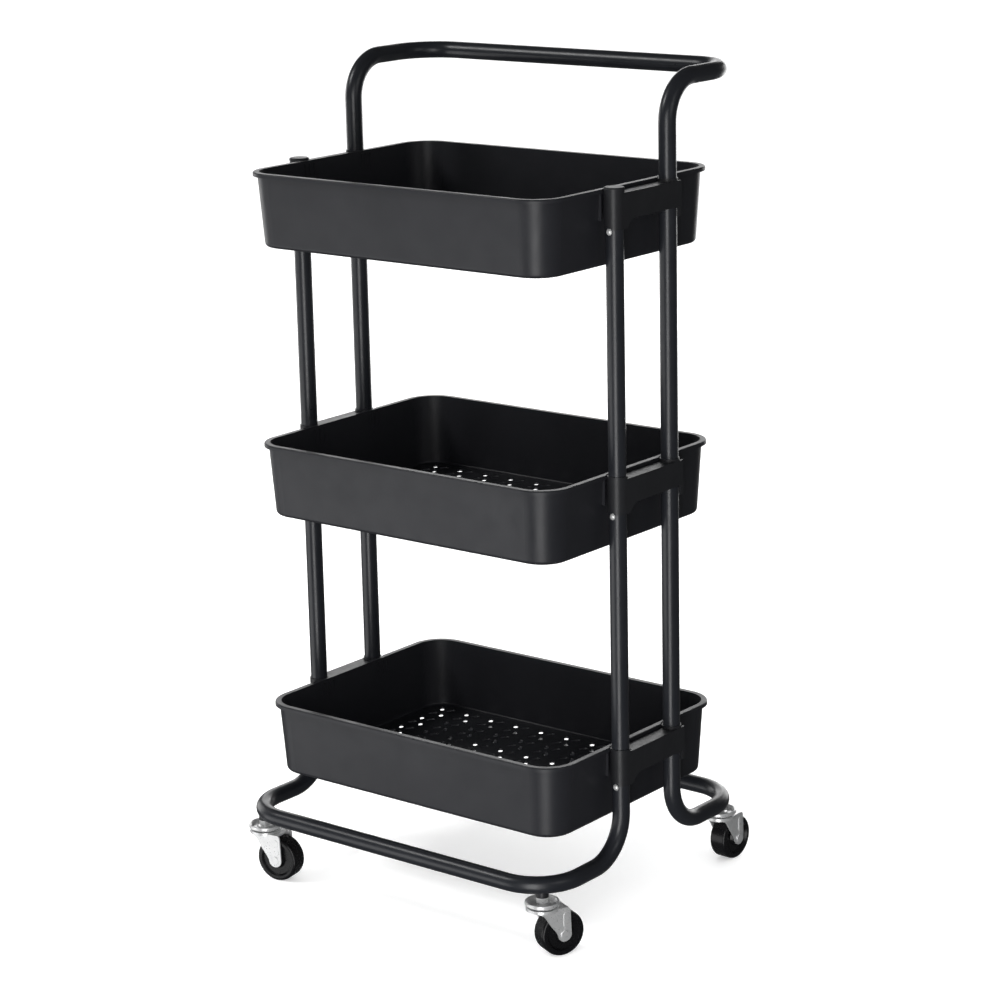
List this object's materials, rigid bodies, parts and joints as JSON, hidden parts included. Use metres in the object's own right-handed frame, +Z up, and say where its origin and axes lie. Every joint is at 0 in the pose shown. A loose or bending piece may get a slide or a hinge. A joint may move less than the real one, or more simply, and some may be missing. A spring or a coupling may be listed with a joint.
{
  "type": "three-tier tool cart",
  "caption": "Household utility trolley: bent black tube frame with a raised push handle, deep open trays with drain holes, and swivel casters.",
  "frame": {"origin": "on the floor, below the middle of the trays", "axes": "+X along the trays' long side, to the right when facing the cart from the side away from the handle; +Y towards the push handle; +Z up"},
  "size_m": [0.431, 0.3809, 0.87],
  "materials": {
    "frame_paint": "satin black powder coat on steel tube",
    "tray_plastic": "fine-grained charcoal black polypropylene",
    "bracket_plastic": "matte black moulded plastic",
    "bright_screw": "bright zinc plated",
    "zinc_plate": "bright zinc plated pressed steel",
    "inner_steel": "bare drawn steel",
    "ball_steel": "polished steel balls",
    "wheel_black": "glossy black moulded wheel",
    "bushing_plastic": "black bearing plastic"
  },
  "bodies": {
    "frame": {"base_tube_front": "frame_paint", "base_tube_rear": "frame_paint", "handle_tube": "frame_paint", "post_lower_front_left": "frame_paint", "post_upper_front_left": "frame_paint", "post_lower_front_right": "frame_paint", "post_upper_front_right": "frame_paint", "post_lower_rear_left": "frame_paint", "post_upper_rear_left": "frame_paint", "post_lower_rear_right": "frame_paint", "post_upper_rear_right": "frame_paint", "tube_joint_spigots": "inner_steel", "bracket_screws": "bright_screw", "post_cap_left": "bracket_plastic", "post_cap_right": "bracket_plastic", "tray_bottom": "tray_plastic", "side_bracket_bottom_left": "bracket_plastic", "side_bracket_bottom_right": "bracket_plastic", "tray_middle": "tray_plastic", "side_bracket_middle_left": "bracket_plastic", "side_bracket_middle_right": "bracket_plastic", "tray_top": "tray_plastic", "side_bracket_top_left": "bracket_plastic", "side_bracket_top_right": "bracket_plastic", "caster_socket_front_left": "bracket_plastic", "caster_stem_front_left": "zinc_plate", "caster_cup_front_left": "zinc_plate", "caster_socket_front_right": "bracket_plastic", "caster_stem_front_right": "zinc_plate", "caster_cup_front_right": "zinc_plate", "caster_socket_rear_left": "bracket_plastic", "caster_stem_rear_left": "zinc_plate", "caster_cup_rear_left": "zinc_plate", "caster_socket_rear_right": "bracket_plastic", "caster_stem_rear_right": "zinc_plate", "caster_cup_rear_right": "zinc_plate"},
    "swivel_front_left": {"caster_fork_front_left": "zinc_plate", "caster_axle_front_left": "zinc_plate", "caster_balls_front_left": "ball_steel"},
    "wheel_front_left": {"caster_wheel_front_left": "wheel_black", "caster_bushing_front_left": "bushing_plastic"},
    "swivel_front_right": {"caster_fork_front_right": "zinc_plate", "caster_axle_front_right": "zinc_plate", "caster_balls_front_right": "ball_steel"},
    "wheel_front_right": {"caster_wheel_front_right": "wheel_black", "caster_bushing_front_right": "bushing_plastic"},
    "swivel_rear_left": {"caster_fork_rear_left": "zinc_plate", "caster_axle_rear_left": "zinc_plate", "caster_balls_rear_left": "ball_steel"},
    "wheel_rear_left": {"caster_wheel_rear_left": "wheel_black", "caster_bushing_rear_left": "bushing_plastic"},
    "swivel_rear_right": {"caster_fork_rear_right": "zinc_plate", "caster_axle_rear_right": "zinc_plate", "caster_balls_rear_right": "ball_steel"},
    "wheel_rear_right": {"caster_wheel_rear_right": "wheel_black", "caster_bushing_rear_right": "bushing_plastic"}
  },
  "joints": [
    {"name": "swivel_turn_front_left", "type": "hinge", "parent": "frame", "child": "swivel_front_left", "pos_m": [-0.18846, -0.15816, 0.05], "axis": [0, 0, 1], "continuous": true},
    {"name": "wheel_spin_front_left", "type": "hinge", "parent": "swivel_front_left", "child": "wheel_front_left", "pos_m": [-0.17024, -0.15494, 0.024], "axis": [-0.1736, 0.9848, 0], "continuous": true},
    {"name": "swivel_turn_front_right", "type": "hinge", "parent": "frame", "child": "swivel_front_right", "pos_m": [0.18846, -0.15816, 0.05], "axis": [0, 0, 1], "continuous": true},
    {"name": "wheel_spin_front_right", "type": "hinge", "parent": "swivel_front_right", "child": "wheel_front_right", "pos_m": [0.19598, -0.14126, 0.024], "axis": [-0.9135, 0.4067, 0], "continuous": true},
    {"name": "swivel_turn_rear_left", "type": "hinge", "parent": "frame", "child": "swivel_rear_left", "pos_m": [-0.18846, 0.15816, 0.05], "axis": [0, 0, 1], "continuous": true},
    {"name": "wheel_spin_rear_left", "type": "hinge", "parent": "swivel_rear_left", "child": "wheel_rear_left", "pos_m": [-0.17977, 0.17449, 0.024], "axis": [-0.8829, 0.4695, 0], "continuous": true},
    {"name": "swivel_turn_rear_right", "type": "hinge", "parent": "frame", "child": "swivel_rear_right", "pos_m": [0.18846, 0.15816, 0.05], "axis": [0, 0, 1], "continuous": true},
    {"name": "wheel_spin_rear_right", "type": "hinge", "parent": "swivel_rear_right", "child": "wheel_rear_right", "pos_m": [0.1891, 0.17665, 0.024], "axis": [-0.9994, 0.0349, 0], "continuous": true}
  ]
}
